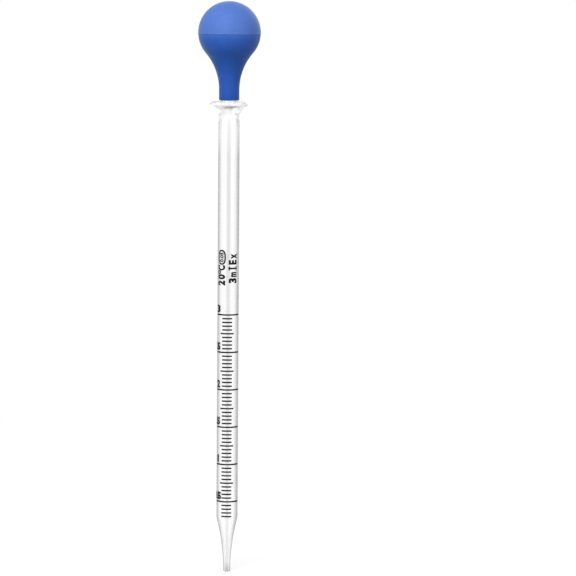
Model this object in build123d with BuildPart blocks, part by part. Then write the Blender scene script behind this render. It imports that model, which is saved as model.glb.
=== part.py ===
from build123d import *
import math
import os

os.makedirs("parts", exist_ok=True)

# A graduated glass dropping pipette with a moulded rubber bulb. Millimetres, +Z up along the
# axis. The origin is the centre of the jet's end, and the printed scale faces -Y.
# The glass is one blown and drawn piece. Here it is three solids that meet on flat rings at the
# two ends of the parallel barrel: jet, barrel, and collar with nipple. The bulb is one moulding.
# Its two squeezed sides are solids of their own, so that they can travel.

# Barrel, the parallel tube
barrel_r = 4.25
barrel_wall = 1.0
barrel_length = 159.7  # between the jet's shoulder and the cove under the collar

# Jet, drawn out of the barrel and melted round at its end
jet_r = 1.4
jet_bore_r = 0.6
jet_length = 23.0  # from its end to the full barrel
shoulder_r = 8.0  # where the draw leaves the barrel

# Collar, the flared disc below the bulb
collar_r = 7.7
collar_thick = 2.2  # through the rounded rim
collar_dish = 0.5  # how far the top falls from the rim to the nipple
collar_cove_r = 5.0  # under the collar

# Nipple, inside the rubber neck
nipple_r = 3.15
nipple_bore_r = 2.4
nipple_length = 11.0  # above the rim
nipple_cove_r = 0.7  # where it leaves the collar
throat_length = 5.5  # above the barrel, where its bore narrows to the nipple's

# Rubber bulb
globe_r = 12.4
bulb_wall = 1.5
bulb_height = 39.2  # from the neck's end to the top of the globe
neck_r = 4.05
neck_straight = 4.2  # from the neck's end to where it starts to widen into the globe
bore_straight = 7.7  # the same, inside
neck_lip = 0.45  # rounding of the neck's end
neck_fit = 0.05  # running clearance between the neck's bore and the nipple
neck_gap = 0.3  # from the top of the collar's rim to the neck's end
seam_drop = 0.35  # the mould's parting line lies this far below the middle of the globe
seam_bead_r = 0.3
seam_stand = 0.12  # how far the bead stands out of the globe

# Squeezed sides of the globe, one for the thumb and one for the finger
squeeze_travel = 5.5  # of each side, towards the axis
squeeze_stop = 0.45  # left between each side's rim and the middle at full travel
squeeze_gap = 0.1  # all round each side

# Printed scale
division_ml = 0.05
divisions_per_line = 10  # from one full line to the next
full_lines = 6
divisions_below = 4  # short lines under the lowest full line
lowest_full_line = 29.0  # height of the lowest full line
line_width = 0.6
enamel = 0.05  # thickness of the print
enamel_gap = 0.01  # between the glass and the print
full_line_arc = 150.0
half_line_arc = 75.0
short_line_arc = 55.0
print_turn = -3.5  # middle of the shorter lines, in degrees from the front
ml = 1000.0  # cubic millimetres

# Glass: heights and radii that follow
barrel_bore_r = barrel_r - barrel_wall
jet_round = (jet_r - jet_bore_r) / 2
barrel_top = jet_length + barrel_length
rim_r = collar_thick / 2
rim_centre = collar_r - rim_r
cove_centre = barrel_r + collar_cove_r
cove_to_rim = collar_cove_r + rim_r  # between their centres
collar_rise = math.sqrt(cove_to_rim**2 - (cove_centre - rim_centre) ** 2)
rim_z = barrel_top + collar_rise
rim_top = rim_z + rim_r
rim_base = (
    rim_centre + rim_r * (cove_centre - rim_centre) / cove_to_rim,
    rim_z - rim_r * collar_rise / cove_to_rim,
)
nipple_floor = rim_top - collar_dish
nipple_top = rim_top + nipple_length
nipple_round = (nipple_r - nipple_bore_r) / 2
throat_top = barrel_top + throat_length

# Bulb: heights and radii that follow
neck_base = rim_top + neck_gap
neck_bore_r = nipple_r + neck_fit
globe_z = neck_base + bulb_height - globe_r
globe_inner_r = globe_r - bulb_wall
seam_z = globe_z - seam_drop
seam_r = math.sqrt(globe_r**2 - seam_drop**2)
squeeze_r = math.sqrt(globe_inner_r**2 - (squeeze_travel + squeeze_stop) ** 2)

# Scale: one division is as long as the bore needs to hold its volume
division = division_ml * ml / (math.pi * barrel_bore_r**2)
divisions = (full_lines - 1) * divisions_per_line
line_r = barrel_r + enamel_gap + enamel / 2


def ogee(low, high, high_r=None):
    """Two tangent arcs between upright ends, the upper one of radius high_r or both alike."""
    step = abs(high[0] - low[0])
    rise = high[1] - low[1]
    side = math.copysign(1, high[0] - low[0])
    both_r = (rise**2 + step**2) / (2 * step)
    high_r = high_r or both_r / 2
    join = (high[0] - side * high_r * step / both_r, high[1] - high_r * rise / both_r)
    lower = TangentArc(low, join, tangent=(0, 1))
    TangentArc(join, high, tangent=lower % 1)


def globe_and_neck(ball_r, tube_r, straight):
    """The globe's arc from its top, the hollow sweep below it and the straight neck."""
    sweep_base = neck_base + straight
    rise = globe_z - sweep_base
    sweep_r = (tube_r**2 + rise**2 - ball_r**2) / (2 * (ball_r - tube_r))
    centres = ball_r + sweep_r
    join = (
        ball_r * (tube_r + sweep_r) / centres,
        globe_z - ball_r * rise / centres,
    )
    ThreePointArc((0, globe_z + ball_r), (ball_r, globe_z), join)
    TangentArc((tube_r, sweep_base), join, tangent=(0, 1))
    Line((tube_r, sweep_base), (tube_r, neck_base))


# Jet: up the outside from its rounded end to the full barrel, and back down the bore
with BuildPart() as glass_jet:
    with BuildSketch(Plane.XZ):
        with BuildLine():
            ThreePointArc((jet_bore_r, jet_round), (jet_r - jet_round, 0), (jet_r, jet_round))
            ogee((jet_r, jet_round), (barrel_r, jet_length), shoulder_r)
            Line((barrel_r, jet_length), (barrel_bore_r, jet_length))
            ogee((jet_bore_r, jet_round), (barrel_bore_r, jet_length), shoulder_r)
        make_face()
    revolve(axis=Axis.Z)

with BuildPart() as glass_barrel:
    with BuildSketch(Plane.XY.offset(jet_length)):
        Circle(barrel_r)
        Circle(barrel_bore_r, mode=Mode.SUBTRACT)
    extrude(amount=barrel_length)

# Collar and nipple: up the outside from the barrel's top, and back down through the throat
with BuildPart() as glass_collar:
    with BuildSketch(Plane.XZ):
        with BuildLine():
            TangentArc((barrel_r, barrel_top), rim_base, tangent=(0, 1))
            ThreePointArc(rim_base, (collar_r, rim_z), (rim_centre, rim_top))
            TangentArc((nipple_r + nipple_cove_r, nipple_floor), (rim_centre, rim_top), tangent=(1, 0))
            TangentArc(
                (nipple_r + nipple_cove_r, nipple_floor),
                (nipple_r, nipple_floor + nipple_cove_r),
                tangent=(-1, 0),
            )
            Line((nipple_r, nipple_floor + nipple_cove_r), (nipple_r, nipple_top - nipple_round))
            ThreePointArc(
                (nipple_r, nipple_top - nipple_round),
                (nipple_r - nipple_round, nipple_top),
                (nipple_bore_r, nipple_top - nipple_round),
            )
            Line((nipple_bore_r, nipple_top - nipple_round), (nipple_bore_r, throat_top))
            ogee((barrel_bore_r, barrel_top), (nipple_bore_r, throat_top))
            Line((barrel_bore_r, barrel_top), (barrel_r, barrel_top))
        make_face()
    revolve(axis=Axis.Z)

# The whole bulb as it is moulded, cut into its core and its two sides below
with BuildPart() as bulb_moulding:
    with BuildSketch(Plane.XZ):
        with BuildLine():
            globe_and_neck(globe_r, neck_r, neck_straight)
            Line((neck_r, neck_base), (neck_bore_r, neck_base))
            globe_and_neck(globe_inner_r, neck_bore_r, bore_straight)
            Line((0, globe_z + globe_inner_r), (0, globe_z + globe_r))
        make_face()
    revolve(axis=Axis.Z)
    outer_end = edges().filter_by(GeomType.CIRCLE).group_by(Axis.Z)[0].sort_by(SortBy.RADIUS)[-1]
    fillet(outer_end, radius=min(neck_lip, (neck_r - neck_bore_r) / 2))
    with BuildSketch(Plane.XZ):
        with Locations((seam_r + seam_stand - seam_bead_r, seam_z)):
            Circle(seam_bead_r)
    revolve(axis=Axis.Z)

with BuildPart() as rubber_bulb:
    add(bulb_moulding.part)
    with BuildSketch(Plane.YZ):
        with Locations((0, globe_z)):
            Circle(squeeze_r + squeeze_gap)
    extrude(amount=2 * globe_r, both=True, mode=Mode.SUBTRACT)

with BuildPart() as thumb_wall:
    add(bulb_moulding.part)
    with BuildSketch(Plane.YZ):
        with Locations((0, globe_z)):
            Circle(squeeze_r)
    extrude(amount=2 * globe_r, mode=Mode.INTERSECT)

with BuildPart() as finger_wall:
    add(mirror(thumb_wall.part, about=Plane.YZ))


def printed_line(step, arc, turn):
    """One enamel line, so many divisions above the lowest full line, centred turn degrees from -Y."""
    with BuildPart() as line:
        with BuildSketch(Plane.XZ.rotated((0, 0, turn - 90 - arc / 2))):
            with Locations((line_r, lowest_full_line + step * division)):
                Rectangle(enamel, line_width)
        revolve(axis=Axis.Z, revolution_arc=arc)
    return line.part


half_steps = divisions_per_line // 2

with BuildPart() as full_scale_lines:
    for step in range(0, divisions + 1, divisions_per_line):
        add(printed_line(step, full_line_arc, 0))

with BuildPart() as half_scale_lines:
    for step in range(half_steps, divisions, divisions_per_line):
        add(printed_line(step, half_line_arc, print_turn))

with BuildPart() as short_scale_lines:
    for step in range(-divisions_below, divisions):
        if step % half_steps:
            add(printed_line(step, short_line_arc, print_turn))

pieces = {
    "glass_jet": glass_jet,
    "glass_barrel": glass_barrel,
    "glass_collar": glass_collar,
    "rubber_bulb": rubber_bulb,
    "thumb_wall": thumb_wall,
    "finger_wall": finger_wall,
    "full_scale_lines": full_scale_lines,
    "half_scale_lines": half_scale_lines,
    "short_scale_lines": short_scale_lines,
}
for name, piece in pieces.items():
    piece.part.label = name
    export_step(piece.part, f"parts/{name}.step")
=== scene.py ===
import math

import bmesh
import bpy
import numpy as np
from mathutils import Matrix, Vector


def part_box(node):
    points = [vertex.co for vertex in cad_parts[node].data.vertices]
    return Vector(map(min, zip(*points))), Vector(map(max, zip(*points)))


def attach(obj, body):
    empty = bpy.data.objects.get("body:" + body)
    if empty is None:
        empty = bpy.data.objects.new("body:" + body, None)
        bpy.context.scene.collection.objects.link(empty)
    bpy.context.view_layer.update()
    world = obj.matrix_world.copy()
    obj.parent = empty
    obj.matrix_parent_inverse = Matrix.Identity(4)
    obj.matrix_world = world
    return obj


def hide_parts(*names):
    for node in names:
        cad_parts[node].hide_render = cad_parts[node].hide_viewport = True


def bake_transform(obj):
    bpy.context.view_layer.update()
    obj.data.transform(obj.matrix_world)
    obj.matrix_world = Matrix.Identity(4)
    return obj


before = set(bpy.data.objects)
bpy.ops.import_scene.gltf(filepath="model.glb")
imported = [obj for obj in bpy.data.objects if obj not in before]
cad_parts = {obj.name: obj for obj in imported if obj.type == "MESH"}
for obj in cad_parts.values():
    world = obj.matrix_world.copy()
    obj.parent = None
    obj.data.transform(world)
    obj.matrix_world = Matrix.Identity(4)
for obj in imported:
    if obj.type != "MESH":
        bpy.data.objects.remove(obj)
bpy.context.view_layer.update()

# A graduated glass dropping pipette with a moulded rubber bulb. Metres, +Z up along the axis,
# the printed scale facing -Y. The glass tube is one closed skin, from the jet's end up the outside,
# over the nipple and down the bore. The bulb is one hollow moulding in two mirrored halves that
# meet at x = 0. The enamel lines are the CAD nodes in a new material, and the numerals and
# letters are curved round the tube beside them.

MM = 0.001
SAME_PLACE = 1e-7  # points no further apart than this are one
NO_AREA = 1e-14  # square metres, under which a sliver is left out

# ---------------------------------------------------------------- sizes
# Glass tube, from the jet's end up
barrel_low, barrel_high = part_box("glass_barrel")
collar_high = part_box("glass_collar")[1]
jet_r = 1.4 * MM
jet_bore_r = 0.6 * MM
jet_round = (jet_r - jet_bore_r) / 2
jet_end_r = (jet_r + jet_bore_r) / 2
jet_length = barrel_low.z
shoulder_r = 8.0 * MM
barrel_r = 4.25 * MM
barrel_bore_r = 3.25 * MM
barrel_top = barrel_high.z
collar_cove_r = 5.0 * MM
collar_dish = 0.5 * MM
rim_r = 1.1 * MM
rim_x = collar_high.x - rim_r
cove_x = barrel_r + collar_cove_r
cove_lean = math.acos((cove_x - rim_x) / (collar_cove_r + rim_r))
rim_z = barrel_top + (collar_cove_r + rim_r) * math.sin(cove_lean)
nipple_r = 3.15 * MM
nipple_bore_r = 2.4 * MM
nipple_cove_r = 0.7 * MM
nipple_round = (nipple_r - nipple_bore_r) / 2
nipple_end_r = (nipple_r + nipple_bore_r) / 2
nipple_floor = rim_z + rim_r - collar_dish
nipple_top = collar_high.z
throat_length = 5.5 * MM

# Rubber bulb
bulb_low, bulb_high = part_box("rubber_bulb")
bulb_wall = 1.5 * MM
globe_r = 12.4 * MM
globe_z = bulb_high.z - globe_r
neck_r = 4.05 * MM
neck_bore_r = 3.2 * MM
neck_base = bulb_low.z
neck_straight = 4.2 * MM
bore_straight = 7.7 * MM
lip_r = 0.42 * MM
seam_z = globe_z - 0.35 * MM
seam_bead_r = 0.3 * MM
seam_stand = 0.12 * MM

# Printed scale
full_low, full_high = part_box("full_scale_lines")
print_r = -full_low.y
enamel_thick = 0.05 * MM
line_width = 0.6 * MM
full_lines = 6
scale_foot = full_low.z + line_width / 2
scale_top = full_high.z - line_width / 2
line_pitch = (full_high.z - full_low.z - line_width) / (full_lines - 1)
numeral_high = 3.1 * MM
numeral_lift = 0.8 * MM
letter_bold = 0.055  # by how much the strokes are fattened, in heights of the type
division_bold = 0.045


# ---------------------------------------------------------------- camera and studio
def aim_camera(place, pitch, roll, lens):
    """A camera at place that looks along +Y, pitched down and rolled by those degrees."""
    p, r = math.radians(pitch), math.radians(roll)
    ahead = Vector((0, math.cos(p), -math.sin(p)))
    level_up = Vector((0, math.sin(p), math.cos(p)))
    level_right = Vector((1, 0, 0))
    right = math.cos(r) * level_right + math.sin(r) * level_up
    up = math.cos(r) * level_up - math.sin(r) * level_right
    turn = Matrix((right, up, -ahead)).transposed().to_4x4()
    data = bpy.data.cameras.new("camera")
    data.lens = lens
    data.sensor_width = 36.0
    data.clip_start = 0.01
    camera = bpy.data.objects.new("camera", data)
    camera.matrix_world = Matrix.Translation(place) @ turn
    bpy.context.scene.collection.objects.link(camera)
    bpy.context.scene.camera = camera


def softbox(name, place, target, size, watts):
    """A square soft light of that size at place, facing target."""
    data = bpy.data.lights.new(name, "AREA")
    data.size = size
    data.energy = watts
    lamp = bpy.data.objects.new(name, data)
    lamp.location = place
    lamp.rotation_euler = (Vector(target) - Vector(place)).to_track_quat("-Z", "Y").to_euler()
    lamp.visible_camera = False
    bpy.context.scene.collection.objects.link(lamp)


def seen_rays(tree):
    """1 where a ray shows the surface to the eye, straight, through glass or in a gloss, else 0."""
    path = tree.nodes.new("ShaderNodeLightPath").outputs
    seen = path["Is Camera Ray"]
    for kind in ("Is Transmission Ray", "Is Glossy Ray"):
        either = tree.nodes.new("ShaderNodeMath")
        either.operation = "MAXIMUM"
        tree.links.new(seen, either.inputs[0])
        tree.links.new(path[kind], either.inputs[1])
        seen = either.outputs[0]
    return seen


def light_studio(fill):
    """A studio that is white to look at and in the glass, and lights the object evenly at fill."""
    world = bpy.data.worlds.new("studio")
    world.use_nodes = True
    bpy.context.scene.world = world
    tree = world.node_tree
    background = tree.nodes["Background"]
    background.inputs["Color"].default_value = (1, 1, 1, 1)
    strength = tree.nodes.new("ShaderNodeMapRange")
    strength.inputs["To Min"].default_value = fill
    tree.links.new(seen_rays(tree), strength.inputs["Value"])
    tree.links.new(strength.outputs[0], background.inputs["Strength"])


class Finish:
    """One material's node tree: each call adds a node and joins its inputs to sockets or values."""

    def __init__(self, name):
        self.block = bpy.data.materials.new(name)
        self.block.use_nodes = True
        self.tree = self.block.node_tree
        self.shader = self.tree.nodes["Principled BSDF"]

    def add(self, kind, inputs=None, **settings):
        node = self.tree.nodes.new("ShaderNode" + kind)
        for key, value in settings.items():
            setattr(node, key, value)
        self.join(node, inputs or {})
        return node

    def join(self, node, inputs):
        for key, value in inputs.items():
            socket = node.inputs[key]
            if isinstance(value, bpy.types.NodeSocket):
                self.tree.links.new(value, socket)
            else:
                socket.default_value = value

    def both(self, a, b):
        """The product of two amounts."""
        return self.add("Math", {0: a, 1: b}, operation="MULTIPLY").outputs[0]

    def rest(self, amount):
        """What the amount leaves of 1."""
        return self.add("Math", {0: 1.0, 1: amount}, operation="SUBTRACT").outputs[0]

    def fade(self, value, start, end):
        """0 at start to 1 at end, and flat beyond them."""
        return self.span(value, start, end, 0.0, 1.0)

    def span(self, value, start, end, low, high, shape="LINEAR"):
        """low at start to high at end, and flat beyond them."""
        inputs = {"Value": value, "From Min": start, "From Max": end, "To Min": low, "To Max": high}
        return self.add("MapRange", inputs, interpolation_type=shape).outputs[0]

    def ramp(self, factor, *stops):
        """Colour stops (position, (r, g, b)) along factor."""
        node = self.add("ValToRGB", {"Fac": factor})
        marks = node.color_ramp.elements
        for index, (position, colour) in enumerate(stops):
            mark = marks[index] if index < 2 else marks.new(position)
            mark.position = position
            mark.color = (*colour, 1.0)
        return node.outputs["Color"]

    def levels(self, factor, *stops):
        """Plain amounts (position, amount) along factor."""
        return self.ramp(factor, *((position, (amount,) * 3) for position, amount in stops))

    def mix(self, factor, a, b, blend="MIX"):
        node = self.add("Mix", data_type="RGBA", blend_type=blend)
        self.join(node, {0: factor, 6: a, 7: b})
        return node.outputs[2]

    def tinted(self, colour, tint):
        """The colour seen through the tint."""
        return self.mix(1.0, colour, tint, "MULTIPLY")

    def dim(self, colour, amount, share):
        """The colour brought down to that share of itself where amount is 1."""
        return self.mix(amount, colour, self.tinted(colour, (share, share, share, 1.0)))

    def noise(self, vector, scale, detail=3.0, roughness=0.5):
        inputs = {"Vector": vector, "Scale": scale, "Detail": detail, "Roughness": roughness}
        return self.add("TexNoise", inputs).outputs["Fac"]

    def stretch(self, vector, scale):
        return self.add("Mapping", {"Vector": vector, "Scale": scale}).outputs["Vector"]

    def bump(self, height, distance, **over):
        """The normal raised by height, over another Normal if one is given."""
        return self.add("Bump", {"Height": height, "Distance": distance, **over}).outputs["Normal"]


def floor_disc(radius, rings, spokes):
    """A flat disc at z = 0: rings of points at radius times the square of their share."""
    share = np.linspace(0, 1, rings + 1)[1:, None]
    turn = np.linspace(0, 2 * math.pi, spokes, endpoint=False)[None, :]
    x = radius * share**2 * np.cos(turn)
    y = radius * share**2 * np.sin(turn)
    points = np.concatenate([[[0.0, 0.0, 0.0]], np.stack([x, y, 0 * x], 2).reshape(-1, 3)])
    around = np.arange(spokes)
    after = (around + 1) % spokes
    centre = np.stack([0 * around, 1 + around, 1 + after], 1)
    low = 1 + spokes * np.arange(rings - 1)[:, None]
    quads = np.stack([low + around, low + spokes + around, low + spokes + after, low + after], 2)
    mesh = bpy.data.meshes.new("studio_floor")
    mesh.from_pydata(points, [], centre.tolist() + quads.reshape(-1, 4).tolist())
    floor = bpy.data.objects.new("studio_floor", mesh)
    bpy.context.scene.collection.objects.link(floor)
    return floor


def floor_finish(radius):
    """A white floor that keeps a soft shadow near the object and fades to plain white at its rim."""
    paint = Finish("white_floor")
    place = paint.add("TexCoord").outputs["Object"]
    reach = paint.add("VectorMath", {0: place}, operation="LENGTH").outputs["Value"]
    rim = paint.span(reach, 0.25 * radius, 0.95 * radius, 0.0, 1.0, "SMOOTHSTEP")
    paint.join(paint.shader, {
        "Base Color": paint.levels(rim, (0.0, 0.5), (1.0, 0.0)),
        "Roughness": 0.9,
        "Specular IOR Level": 0.0,
        "Emission Color": (1, 1, 1, 1),
        "Emission Strength": paint.both(paint.span(rim, 0.0, 1.0, 0.62, 1.0), seen_rays(paint.tree)),
    })
    return paint.block


bpy.context.scene.view_settings.view_transform = "Standard"
aim_camera(place=(0.02389, -1.27032, 0.2484), pitch=6.0, roll=0.416, lens=200.0)
light_studio(fill=0.32)
softbox("key_light", place=(-0.3, -0.95, 0.9), target=(0, 0, 0.2), size=0.8, watts=14.0)
softbox("left_light", place=(-1.1, -0.8, 0.55), target=(0, 0, 0.15), size=0.7, watts=3.0)
softbox("right_light", place=(1.0, -0.8, 0.4), target=(0, 0, 0.15), size=0.7, watts=2.0)
softbox("back_light", place=(0.7, 1.1, 0.7), target=(0, 0, 0.15), size=0.7, watts=3.0)
floor_r = 0.45
floor = floor_disc(floor_r, rings=24, spokes=96)
floor.data.materials.append(floor_finish(floor_r))


# ---------------------------------------------------------------- finishes
def above_barrel(*stops):
    """Stops given in millimetres above the barrel's top, as heights."""
    return [(barrel_top + rise * MM, amount) for rise, amount in stops]


def painted_glass_shade(glass, across, up, facing, outside):
    """Painted shade on the glass, by how steeply its outside is seen, with a painted dark reflection face
    on and painted shade down the +X side.
    """
    tint = glass.ramp(
        glass.both(facing, outside),
        (0.0, (1, 1, 1)),
        (0.18, (0.96, 0.96, 0.96)),
        (0.26, (0.89, 0.89, 0.895)),
        (0.35, (0.65, 0.655, 0.66)),
        (0.48, (0.38, 0.385, 0.39)),
        (0.7, (0.13, 0.135, 0.14)),
        (0.95, (0.1, 0.1, 0.105)),
    )
    # Painted reflection: a dark line down the tube where it is seen face on, between the jet and the
    # collar
    from_jet = (1.0 * MM, 0.0), (12.0 * MM, 1.0)
    to_collar = above_barrel((-14.7, 1.0), (-8.7, 0.85), (-0.2, 0.85), (2.3, 0.0))
    painted_reflection_streak = glass.both(glass.fade(facing, 0.024, 0.007), glass.levels(up, *from_jet, *to_collar))
    # Painted shade down the +X side of the outer skin
    painted_side_shade = glass.both(glass.fade(across, 2.4 * MM, 4.0 * MM), outside)
    return glass.dim(glass.dim(tint, painted_reflection_streak, 0.875), painted_side_shade, 0.82)


def painted_jet_shade(glass, up):
    """Painted shade on the drawn jet, deepest at its melted end."""
    return glass.ramp(
        up,
        (0.0, (0.68, 0.683, 0.686)),
        (0.2 * MM, (0.76, 0.763, 0.766)),
        (0.4 * MM, (0.88, 0.882, 0.886)),
        (2.5 * MM, (0.89, 0.892, 0.895)),
        (6.5 * MM, (0.91, 0.912, 0.914)),
        (16.0 * MM, (0.955, 0.956, 0.957)),
        (26.0 * MM, (1, 1, 1)),
    )


def clear_glass():
    """Drawn glass: clear face on, with painted shade edge on and at the jet, and faintly uneven.

    Round the collar its painted shade is paler and it is thinner to look at, all but the nipple and
    the outer part of the rim where that is seen edge on, which keep their outlines.
    """
    glass = Finish("clear_glass")
    place = glass.add("TexCoord").outputs["Object"]
    across, _, up = glass.add("SeparateXYZ", {0: place}).outputs
    flat = glass.add("VectorMath", {0: place, 1: (1, 1, 0)}, operation="MULTIPLY").outputs[0]
    reach = glass.add("VectorMath", {0: flat}, operation="LENGTH").outputs["Value"]
    outside = glass.add("Attribute", attribute_name="outer_skin").outputs["Fac"]
    facing = glass.add("LayerWeight", {"Blend": 0.5}).outputs["Facing"]

    nipple_foot = glass.fade(up, barrel_top + 5.3 * MM, barrel_top + 5.9 * MM)
    nipple = glass.both(glass.fade(reach, 5.0 * MM, 4.2 * MM), nipple_foot)
    # Painted shade on the glass's edges, taken back towards white round the collar but not on the nipple
    pale = glass.levels(up, *above_barrel((-13.7, 0.0), (-9.2, 0.34), (-4.2, 0.34), (-1.2, 0.62)))
    pale = glass.both(pale, glass.rest(nipple))
    tint = glass.mix(pale, painted_glass_shade(glass, across, up, facing, outside), (1, 1, 1, 1))

    rim = glass.both(glass.fade(reach, 5.0 * MM, rim_x), glass.fade(facing, 0.3, 0.9))
    thin = glass.levels(up, *above_barrel((-3.7, 0.0), (1.3, 0.45), (3.3, 0.65), (4.7, 0.65), (5.9, 0.4)))
    thin = glass.both(glass.both(thin, glass.rest(rim)), glass.rest(nipple))

    drawn = glass.noise(glass.stretch(place, (900, 900, 12)), 1.0, 2.0)
    slow = glass.noise(glass.stretch(place, (250, 250, 40)), 1.0, 1.0)
    unevenness = glass.add("Math", {0: drawn, 1: slow}, operation="ADD").outputs[0]
    glass.join(glass.shader, {
        "Base Color": glass.tinted(tint, painted_jet_shade(glass, up)),
        "Alpha": glass.rest(thin),
        "Roughness": 0.0,
        "IOR": 1.5,
        "Transmission Weight": 1.0,
        "Normal": glass.bump(unevenness, 0.0008 * MM),
    })
    return glass.block


def blue_rubber():
    """Matt moulded rubber with a fine grain, a soft mottling and a greenish sheen.

    Its colour follows the share of the height from the neck's end to the parting line. Painted shade
    makes it darker at the neck's end and under the globe, and painted light gives a faint step just
    below the parting line and a paler top from that line up.
    """
    rubber = Finish("blue_rubber")
    place = rubber.add("Attribute", attribute_name="moulded_place").outputs["Vector"]
    skin = rubber.add("UVMap", uv_map="skin").outputs["UV"]
    along = rubber.add("SeparateXYZ", {0: skin}).outputs["Y"]
    grain = rubber.noise(place, 5200.0, 3.0, 0.6)
    mottle = rubber.noise(place, 420.0, 4.0, 0.55)
    wear = rubber.noise(place, 90.0, 2.0)
    # Painted light: how far the colour turns to the paler blue, a little below the parting line with a
    # faint step, and fully above it
    painted_top_light = rubber.levels(
        along, (0.80, 0.0), (0.90, 0.10), (0.938, 0.17), (0.944, 0.31), (0.992, 0.37), (1.0, 1.0)
    )
    low = rubber.ramp(mottle, (0.3, (0.020, 0.088, 0.415)), (0.7, (0.025, 0.098, 0.450)))
    # The paler blue is a lit copy of the rubber, painted light for the top half
    high = rubber.ramp(mottle, (0.3, (0.074, 0.163, 0.514)), (0.7, (0.084, 0.179, 0.544)))
    # Painted shade: the rubber darker at the neck's end and under the globe, by the share of the height
    painted_rubber_shade = rubber.ramp(
        along,
        (0.0, (0.36, 0.66, 0.67)),
        (0.12, (0.70, 0.88, 0.89)),
        (0.30, (0.90, 0.93, 0.93)),
        (0.44, (0.80, 0.90, 0.90)),
        (0.55, (0.50, 0.86, 0.87)),
        (0.72, (0.54, 0.90, 0.92)),
        (0.80, (0.95, 1, 1)),
    )
    rubber.join(rubber.shader, {
        "Base Color": rubber.mix(painted_top_light, rubber.tinted(low, painted_rubber_shade), high),
        "Roughness": rubber.span(wear, 0.3, 0.7, 0.50, 0.60),
        "Specular IOR Level": 0.15,
        "Sheen Weight": 0.3,
        "Sheen Roughness": 0.4,
        "Sheen Tint": (0.74, 1.0, 0.88, 1.0),
        "Normal": rubber.bump(mottle, 0.03 * MM, Normal=rubber.bump(grain, 0.01 * MM)),
    })
    return rubber.block


def black_enamel():
    """Fired black print: slightly glossy, a little thin and brown in places."""
    enamel = Finish("black_enamel")
    place = enamel.add("TexCoord").outputs["Object"]
    thin = enamel.noise(place, 1500.0, 4.0, 0.6)
    grain = enamel.noise(place, 6000.0, 2.0)
    enamel.join(enamel.shader, {
        "Base Color": enamel.ramp(thin, (0.35, (0.006, 0.006, 0.007)), (0.75, (0.016, 0.013, 0.013))),
        "Roughness": enamel.span(thin, 0.0, 1.0, 0.3, 0.5),
        "Specular IOR Level": 0.1,
        "Normal": enamel.bump(grain, 0.006 * MM),
    })
    return enamel.block


glass_finish, rubber_finish, enamel_finish = clear_glass(), blue_rubber(), black_enamel()


def mesh_piece(name, points, faces, finish, smooth=True):
    """A mesh object from point and face arrays, in that finish and material slot."""
    mesh = bpy.data.meshes.new(name)
    mesh.from_pydata(points, [], faces)
    mesh.polygons.foreach_set("use_smooth", np.full(len(mesh.polygons), smooth))
    mesh.materials.append(finish)
    piece = bpy.data.objects.new(name, mesh)
    bpy.context.scene.collection.objects.link(piece)
    return piece


def repaint(node, finish):
    """A CAD node shown in a new finish."""
    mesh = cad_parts[node].data
    mesh.materials.clear()
    mesh.materials.append(finish)


for lines in ("full_scale_lines", "half_scale_lines", "short_scale_lines"):
    repaint(lines, enamel_finish)


# ---------------------------------------------------------------- glass tube
def turned(centre, radius, start, end, steps):
    """Points (r, z) on an arc about centre from start to end degrees."""
    turn = np.radians(np.linspace(start, end, steps))
    return np.stack([centre[0] + radius * np.cos(turn), centre[1] + radius * np.sin(turn)], 1)


def ogee(low, high, steps, high_r=None):
    """Points from low to high on two tangent arcs with upright ends, the upper of radius high_r.

    Both arcs turn by the same angle, so the upper one takes the share high_r / both_r of the rise
    and of the step, where both_r = (rise^2 + step^2) / (2 step). Without high_r they are alike.
    """
    step, rise = high[0] - low[0], high[1] - low[1]
    side = math.copysign(1, step)
    both_r = (rise**2 + step**2) / (2 * abs(step))
    high_r = high_r or both_r / 2
    low_r = both_r - high_r
    lean = math.degrees(math.asin(rise / both_r))
    lower = turned((0, low[1]), low_r, 0, lean, steps)
    lower[:, 0] = low[0] + side * (low_r - lower[:, 0])
    upper = turned((0, high[1]), high_r, -lean, 0, steps)
    upper[:, 0] = high[0] - side * (high_r - upper[:, 0])
    return np.concatenate([lower, upper[1:]])


def dished_top(steps):
    """Points inwards over the collar's dish: one arc that falls from the rim and ends level.

    With run w and fall d from the rim to the nipple's cove its radius is (w^2 + d^2) / (2 d).
    """
    cove_edge = nipple_r + nipple_cove_r
    dish_r = ((rim_x - cove_edge) ** 2 + collar_dish**2) / (2 * collar_dish)
    x = np.linspace(rim_x, cove_edge, steps)
    return np.stack([x, nipple_floor + dish_r - np.sqrt(dish_r**2 - (x - cove_edge) ** 2)], 1)


def glass_section():
    """The tube's closed section, as its points (r, z) on the outer skin and on the bore.

    It runs up the outside from the jet's end, over the nipple and down the bore.
    """
    lean = math.degrees(cove_lean)
    nipple_cove = (nipple_r + nipple_cove_r, nipple_floor + nipple_cove_r)
    outer = np.concatenate([
        turned((jet_end_r, jet_round), jet_round, -180, 0, steps=17),
        ogee((jet_r, jet_round), (barrel_r, jet_length), steps=24, high_r=shoulder_r)[1:],
        turned((cove_x, barrel_top), collar_cove_r, 180, 180 - lean, steps=24),
        turned((rim_x, rim_z), rim_r, -lean, 90, steps=28)[1:],
        dished_top(steps=14)[1:],
        turned(nipple_cove, nipple_cove_r, -90, -180, steps=9)[1:],
        turned((nipple_end_r, nipple_top - nipple_round), nipple_round, 0, 180, steps=13),
    ])
    throat = ogee((barrel_bore_r, barrel_top), (nipple_bore_r, barrel_top + throat_length), steps=14)
    jet_bore = ogee((jet_bore_r, jet_round), (barrel_bore_r, jet_length), steps=24, high_r=shoulder_r)
    return outer, np.concatenate([throat[::-1], jet_bore[:0:-1]])


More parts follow.
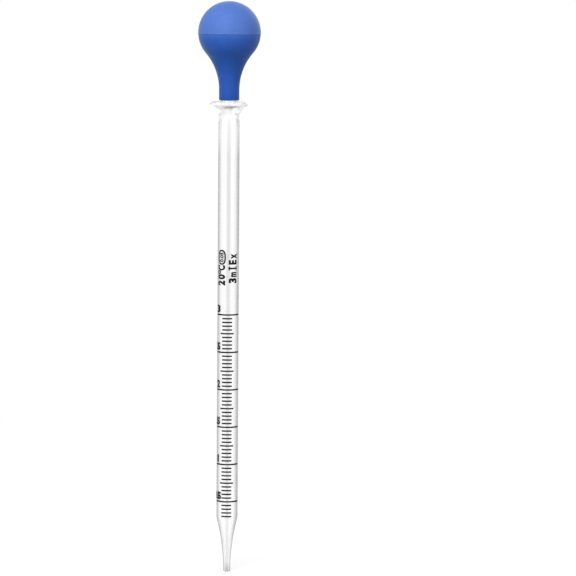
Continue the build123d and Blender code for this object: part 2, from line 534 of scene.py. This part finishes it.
def glass_tube(spokes):
    """The whole tube as one skin: the section turned about the axis.

    Point (r, z) goes to (r sin a, -r cos a, z) as a runs round from 0 to 360 degrees.
    """
    outer, bore = glass_section()
    section = np.concatenate([outer, bore])
    turn = np.linspace(0, 2 * math.pi, spokes, endpoint=False)
    r, z = section[:, :1], section[:, 1:]
    grid = np.stack([r * np.sin(turn), -r * np.cos(turn), z + 0 * turn], 2)
    index = np.arange(len(section) * spokes).reshape(-1, spokes)
    after, beyond = np.roll(index, -1, 1), np.roll(index, -1, 0)
    quads = np.stack([index, after, np.roll(beyond, -1, 1), beyond], 2).reshape(-1, 4)
    piece = mesh_piece("glass_tube", grid.reshape(-1, 3), quads.tolist(), glass_finish)
    outer_skin = piece.data.attributes.new("outer_skin", "FLOAT", "POINT")
    on_outside = np.arange(len(section)) < len(outer)
    outer_skin.data.foreach_set("value", np.repeat(on_outside, spokes).astype(np.float32))
    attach(piece, "glass")
    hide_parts("glass_jet", "glass_barrel", "glass_collar")


glass_tube(spokes=128)


# ---------------------------------------------------------------- rubber bulb
def globe_to_neck(ball_r, tube_r, straight, tube_end, steps):
    """Points (r, z) from the globe's top down to the neck's end.

    The globe is an arc from its top to where the hollow sweep starts. The sweep is an arc that
    ends upright at the straight neck, so with rise h its radius is
    (tube_r^2 + h^2 - ball_r^2) / (2 (ball_r - tube_r)). steps gives the points on each.
    """
    sweep_base = neck_base + straight
    rise = globe_z - sweep_base
    sweep_r = (tube_r**2 + rise**2 - ball_r**2) / (2 * (ball_r - tube_r))
    lean = math.degrees(math.asin(rise / (ball_r + sweep_r)))
    ball = turned((0, globe_z), ball_r, 90, -lean, steps[0])
    ball[0, 0] = 0.0
    sweep = turned((tube_r + sweep_r, sweep_base), sweep_r, 180 - lean, 180, steps[1])[1:]
    down = np.linspace(sweep_base, tube_end, steps[2])[1:]
    neck = np.stack([np.full(len(down), tube_r), down], 1)
    return np.concatenate([ball, sweep, neck])


def with_bead(outline):
    """The outline with closer points about the seam, pushed out to the bead's circle there."""
    seam_r = math.sqrt(globe_r**2 - (globe_z - seam_z) ** 2)
    centre_r = seam_r + seam_stand - seam_bead_r
    near_seam = np.abs(outline[:, 1] - seam_z) < 2 * seam_bead_r
    first, last = np.flatnonzero(near_seam)[[0, -1]]
    fine = np.linspace(seam_z + 2 * seam_bead_r, seam_z - 2 * seam_bead_r, 41)
    arc = np.stack([np.sqrt(globe_r**2 - (fine - globe_z) ** 2), fine], 1)
    outline = np.concatenate([outline[:first], arc, outline[last + 1:]])
    off = outline[:, 1] - seam_z
    bead = centre_r + np.sqrt(np.clip(seam_bead_r**2 - off**2, 0, None))
    bead = np.where(np.abs(off) < seam_bead_r, bead, 0.0)
    return np.stack([np.maximum(outline[:, 0], bead), outline[:, 1]], 1)


def bulb_section():
    """The wall's outline from the top down to the rounded lip, and the inner one back up."""
    outer = globe_to_neck(globe_r, neck_r, neck_straight, neck_base + lip_r, steps=(150, 44, 8))
    lip = turned((neck_r - lip_r, neck_base + lip_r), lip_r, 0, -90, steps=7)[1:]
    inner = globe_to_neck(globe_r - bulb_wall, neck_bore_r, bore_straight, neck_base, steps=(60, 24, 8))
    return np.concatenate([with_bead(outer), lip]), inner[::-1]


def half_turned(section, side):
    """The section turned about the axis from -Y through the side to +Y, in closer steps at the cut.

    Point (r, z) goes to (side r sin a, -r cos a, z) as a runs from 0 to 180 degrees.
    """
    edge = np.radians([0, 0.25, 1.0])
    middle = np.radians(np.linspace(2.5, 177.5, 71))
    turn = np.concatenate([edge, middle, math.pi - edge[::-1]])
    r, z = section[:, :1], section[:, 1:]
    return np.stack([side * r * np.sin(turn), -r * np.cos(turn), z + 0 * turn], 2)


def half_faces(outer_count, inner_count, columns):
    """Quads of the half turned skin and of the two strips that close the wall's cut at x = 0.

    The section's first and last points lie on the axis, one for all columns. In a strip, each
    outer point is joined to the inner point at the same share of the outline.
    """
    count = outer_count + inner_count
    index = np.arange(count * columns).reshape(count, columns)
    index[[0, -1]] = index[[0, -1], :1]
    skin = np.stack([index[:-1, :-1], index[1:, :-1], index[1:, 1:], index[:-1, 1:]], 2)
    share = np.linspace(0, 1, outer_count)
    across = count - 1 - np.round(share * (inner_count - 1)).astype(int)
    a, b = index[:outer_count], index[across]
    front = np.stack([a[:-1, 0], b[:-1, 0], b[1:, 0], a[1:, 0]], 1)
    back = np.stack([a[1:, -1], b[1:, -1], b[:-1, -1], a[:-1, -1]], 1)
    return np.concatenate([skin.reshape(-1, 4), front, back])


def mark_skin(mesh, points):
    """What the rubber's finish and shading read: moulded place, skin map and the sharp cut.

    The skin map is the turn about the axis, and the height as a share of the seam's height. The
    cut's edges are sharp, so that the skin's shading runs on into the other half.
    """
    on_cut = np.abs(points[:, 0]) < SAME_PLACE
    ends = np.zeros(len(mesh.edges) * 2, int)
    mesh.edges.foreach_get("vertices", ends)
    sharp = mesh.attributes.new("sharp_edge", "BOOLEAN", "EDGE")
    sharp.data.foreach_set("value", on_cut[ends.reshape(-1, 2)].all(1))
    moulded_place = mesh.attributes.new("moulded_place", "FLOAT_VECTOR", "POINT")
    moulded_place.data.foreach_set("vector", points.astype(np.float32).ravel())
    corners = np.zeros(len(mesh.loops), int)
    mesh.loops.foreach_get("vertex_index", corners)
    turn = np.arctan2(points[:, 0], -points[:, 1]) / (2 * math.pi) + 0.5
    share = (points[:, 2] - neck_base) / (seam_z - neck_base)
    skin = mesh.uv_layers.new(name="skin")
    skin.data.foreach_set("uv", np.stack([turn, share], 1)[corners].astype(np.float32).ravel())


def half_bulb(name, side):
    """Half of the hollow bulb, on the +X side where side is 1 and on the -X side where it is -1.

    The corners of each quad run the other way round on the -X side, so that both face outwards.
    """
    outer, inner = bulb_section()
    grid = half_turned(np.concatenate([outer, inner]), side)
    faces = half_faces(len(outer), len(inner), grid.shape[1])[:, ::side]
    used, packed = np.unique(faces, return_inverse=True)
    points = grid.reshape(-1, 3)[used]
    # a quad that ends on the axis is a triangle, and one that is no wider than an edge is left out
    loops = [list(dict.fromkeys(face)) for face in packed.reshape(faces.shape).tolist()]
    loops = [face for face in loops if len(face) > 2]
    piece = mesh_piece(name, points, loops, rubber_finish)
    mark_skin(piece.data, points)
    return piece


for name, side, body, wall in (
    ("bulb_thumb_half", 1, "thumb_side", "thumb_wall"),
    ("bulb_finger_half", -1, "finger_side", "finger_wall"),
):
    half = half_bulb(name, side)
    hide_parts("rubber_bulb", wall)
    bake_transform(half)


# ---------------------------------------------------------------- numerals and print
def word(letters, bold=letter_bold):
    """The letters in the built-in face: flat points (x, y) and faces."""
    curve = bpy.data.curves.new("letters", "FONT")
    curve.body = letters
    curve.resolution_u = 5
    curve.offset = bold
    carrier = bpy.data.objects.new("letters", curve)
    bpy.context.scene.collection.objects.link(carrier)
    bpy.context.view_layer.update()
    seen = carrier.evaluated_get(bpy.context.evaluated_depsgraph_get())
    mesh = bpy.data.meshes.new_from_object(seen)
    bpy.data.objects.remove(carrier)
    points = np.zeros(len(mesh.vertices) * 3)
    mesh.vertices.foreach_get("co", points)
    faces = [list(face.vertices) for face in mesh.polygons]
    bpy.data.meshes.remove(mesh)
    return points.reshape(-1, 3)[:, :2], faces


def bar():
    """A square: flat points and one face."""
    return np.array([(0, 0), (1, 0), (1, 1), (0, 1)]), [[0, 1, 2, 3]]


def ring(wide, high, stroke, count=48, power=2.6):
    """A band between two rounded oblongs, one stroke apart: flat points and faces.

    An oblong's point at angle a lies at (cos a, sin a) with both numbers raised to 2 / power.
    """
    turn = np.linspace(0, 2 * math.pi, count, endpoint=False)
    round_about = np.stack([np.cos(turn), np.sin(turn)], 1)
    oblong = np.sign(round_about) * np.abs(round_about) ** (2 / power) / 2
    points = np.concatenate([oblong * (wide, high), oblong * (wide - 2 * stroke, high - 2 * stroke)])
    around = np.arange(count)
    after = (around + 1) % count
    return points, np.stack([around, after, after + count, around + count], 1).tolist()


def placed(shape, size, centre, turn=0):
    """The shape scaled to size (wide, high), turned by turn degrees and centred on centre.

    Places on the flat sheet are metres round the tube to the right of the front, and metres up it.
    """
    points, faces = shape
    low, high = points.min(0), points.max(0)
    x, y = ((points - (low + high) / 2) * size / (high - low)).T
    c, s = math.cos(math.radians(turn)), math.sin(math.radians(turn))
    return np.stack([centre[0] + c * x - s * y, centre[1] + s * x + c * y], 1), faces


def cut_sheet(shapes, strip):
    """The shapes joined on one flat sheet, cut into upright strips: points and triangles."""
    sheet = bmesh.new()
    mesh = bpy.data.meshes.new("sheet")
    for points, faces in shapes:
        mesh.clear_geometry()
        mesh.from_pydata(np.pad(points, ((0, 0), (0, 1))), [], faces)
        sheet.from_mesh(mesh)
    reach = np.concatenate([points[:, 0] for points, _ in shapes])
    for cut in np.arange(reach.min() + strip, reach.max(), strip):
        everything = sheet.verts[:] + sheet.edges[:] + sheet.faces[:]
        bmesh.ops.bisect_plane(sheet, geom=everything, plane_co=(cut, 0, 0), plane_no=(1, 0, 0))
    bmesh.ops.remove_doubles(sheet, verts=sheet.verts[:], dist=SAME_PLACE)
    bmesh.ops.triangulate(sheet, faces=sheet.faces[:])
    sheet.to_mesh(mesh)
    sheet.free()
    points = np.zeros(len(mesh.vertices) * 3)
    mesh.vertices.foreach_get("co", points)
    corners = np.zeros(len(mesh.loops), int)
    mesh.loops.foreach_get("vertex_index", corners)
    bpy.data.meshes.remove(mesh)
    return points.reshape(-1, 3)[:, :2], corners.reshape(-1, 3)


def wrap_print(name, shapes):
    """Enamel from flat shapes: wrapped round the tube and given thickness.

    A sheet point (s, h) lands at angle s / r from the front, at (r sin, -r cos, h), once at the
    print's outer radius and once at its inner one, with walls along the sheet's open edges.
    """
    flat, faces = cut_sheet(shapes, strip=0.2 * MM)
    a, b, c = (flat[faces[:, k]] for k in range(3))
    area = (b[:, 0] - a[:, 0]) * (c[:, 1] - a[:, 1]) - (b[:, 1] - a[:, 1]) * (c[:, 0] - a[:, 0])
    faces = np.where(area[:, None] < 0, faces[:, ::-1], faces)[np.abs(area) > NO_AREA]
    sides = np.concatenate([faces[:, [0, 1]], faces[:, [1, 2]], faces[:, [2, 0]]])
    count = len(flat)
    rim = sides[~np.isin(sides @ (count, 1), sides[:, ::-1] @ (count, 1))]
    walls = np.stack([rim[:, 1], rim[:, 0], rim[:, 0] + count, rim[:, 1] + count], 1)
    angle, height = flat[:, 0] / print_r, flat[:, 1]
    points = np.concatenate([
        np.stack([r * np.sin(angle), -r * np.cos(angle), height], 1)
        for r in (print_r, print_r - enamel_thick)
    ])
    every = faces.tolist() + (faces[:, ::-1] + count).tolist() + walls.tolist()
    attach(mesh_piece(name, points, every, enamel_finish, smooth=False), "glass")


def at_angle(degrees):
    """Metres round the print from the front to that angle."""
    return math.radians(degrees) * print_r


def numerals():
    """Upright volumes in millilitres beside the full lines, set against the ends of the shorter ones."""
    widths = {"1": 1.1, "2": 2.2, "3": 2.2}
    right_ends = {"0.5": -33, "1": -50}
    shapes = []
    for step in range(full_lines):
        volume = f"{(step + 1) / 2:g}"
        wide = widths.get(volume, 4.7) * MM
        middle = at_angle(right_ends.get(volume, -43)) - wide / 2
        foot = scale_foot + step * line_pitch + numeral_lift
        shapes.append(placed(word(volume), (wide, numeral_high), (middle, foot + numeral_high / 2)))
    wrap_print("volume_numerals", shapes)


def markings():
    """The line that gives temperature, capacity and division, reading up the tube.

    Each shape has its width, its height, how far up it stands and its shift towards the foot of
    the letters, in millimetres.
    """
    temperature = (
        (word("2"), 2.05, 3.6, 12.75, 0.0),
        (word("0"), 2.05, 3.6, 15.2, 0.0),
        (ring(1.6, 1.7, 0.52), 1.6, 1.7, 17.0, -1.0),
        (word("C"), 2.15, 3.6, 18.8, 0.0),
        (ring(6.0, 3.7, 0.62), 6.0, 3.7, 23.0, 0.2),
        (word("0.05", division_bold), 3.9, 1.7, 23.0, 0.2),
    )
    capacity = (
        (word("3"), 2.05, 3.6, 13.7, 0.0),
        (word("m"), 2.1, 2.6, 16.15, 0.5),
        (word("l"), 0.7, 3.6, 18.6, 0.0),
        (bar(), 1.6, 0.55, 18.6, -1.58),
        (bar(), 1.6, 0.55, 18.6, 1.58),
        (word("E"), 1.85, 3.6, 21.05, 0.0),
        (word("x"), 2.05, 2.6, 23.45, 0.5),
    )
    shapes = []
    for angle, row in ((-39, temperature), (27, capacity)):
        for shape, wide, high, rise, shift in row:
            centre = (at_angle(angle) + shift * MM, scale_top + rise * MM)
            shapes.append(placed(shape, (wide * MM, high * MM), centre, turn=90))
    wrap_print("capacity_marking", shapes)


numerals()
markings()
